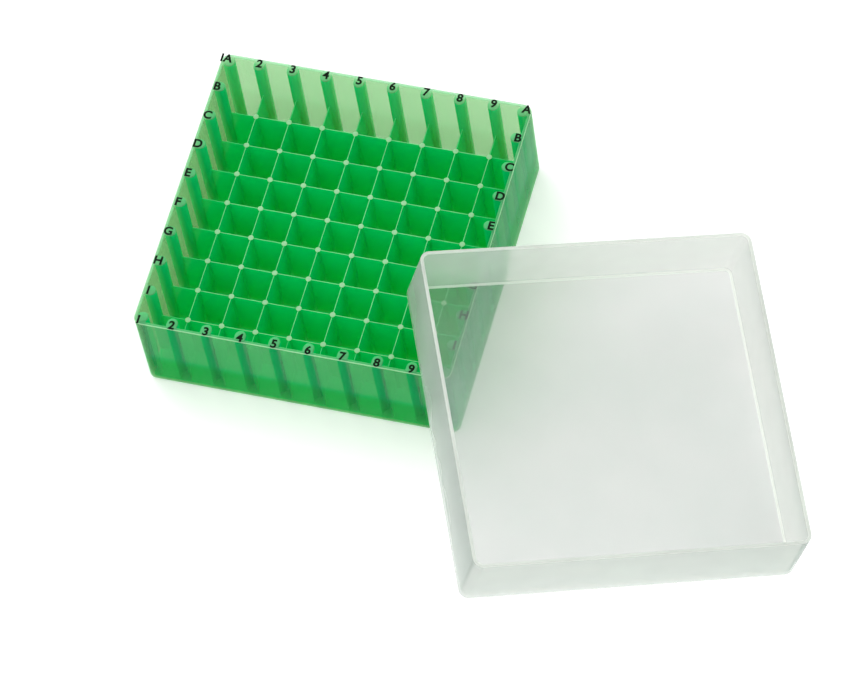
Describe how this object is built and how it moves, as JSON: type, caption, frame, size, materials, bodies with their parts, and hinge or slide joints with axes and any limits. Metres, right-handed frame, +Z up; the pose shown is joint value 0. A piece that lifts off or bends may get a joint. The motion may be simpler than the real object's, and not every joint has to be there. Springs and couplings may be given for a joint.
{
  "type": "cryogenic storage box",
  "caption": "Square translucent green tray with a grid of tube cells and lettered edge posts, and a frosted lift-off lid leaning open side up against one side.",
  "frame": {"origin": "centre of the base's flat underside", "axes": "+Z up out of the base, +X to the base's right side, where the lid leans, +Y to its back wall, where row A is"},
  "size_m": [0.2794, 0.2163, 0.0799],
  "materials": {
    "base_green": "smooth translucent green polypropylene",
    "lid_natural": "frosted natural polypropylene",
    "printed_black": "matt black printing"
  },
  "bodies": {
    "base": {"base_tray": "base_green", "label_post_left_B": "base_green", "label_post_left_C": "base_green", "label_post_left_D": "base_green", "label_post_left_E": "base_green", "label_post_left_F": "base_green", "label_post_left_G": "base_green", "label_post_left_H": "base_green", "label_post_left_I": "base_green", "label_post_right_B": "base_green", "label_post_right_C": "base_green", "label_post_right_D": "base_green", "label_post_right_E": "base_green", "label_post_right_F": "base_green", "label_post_right_G": "base_green", "label_post_right_H": "base_green", "label_post_right_I": "base_green", "label_post_back_2": "base_green", "label_post_back_3": "base_green", "label_post_back_4": "base_green", "label_post_back_5": "base_green", "label_post_back_6": "base_green", "label_post_back_7": "base_green", "label_post_back_8": "base_green", "label_post_back_9": "base_green", "label_post_front_2": "base_green", "label_post_front_3": "base_green", "label_post_front_4": "base_green", "label_post_front_5": "base_green", "label_post_front_6": "base_green", "label_post_front_7": "base_green", "label_post_front_8": "base_green", "label_post_front_9": "base_green", "corner_post_back_right": "base_green", "corner_post_back_left": "base_green", "corner_post_front_left": "base_green", "corner_post_front_right": "base_green", "row_divider_B": "base_green", "row_divider_C": "base_green", "row_divider_D": "base_green", "row_divider_E": "base_green", "row_divider_F": "base_green", "row_divider_G": "base_green", "row_divider_H": "base_green", "row_divider_I": "base_green", "column_divider_2": "base_green", "column_divider_3": "base_green", "column_divider_4": "base_green", "column_divider_5": "base_green", "column_divider_6": "base_green", "column_divider_7": "base_green", "column_divider_8": "base_green", "column_divider_9": "base_green"},
    "lid": {"lid_plate": "lid_natural", "lid_wall_right": "lid_natural", "lid_wall_back": "lid_natural", "lid_wall_left": "lid_natural", "lid_wall_front": "lid_natural"}
  },
  "joints": [
    {"name": "lid_lift", "type": "slide", "parent": "base", "child": "lid", "axis": [0, 0, 1], "range_m": [0, 0.12]}
  ]
}
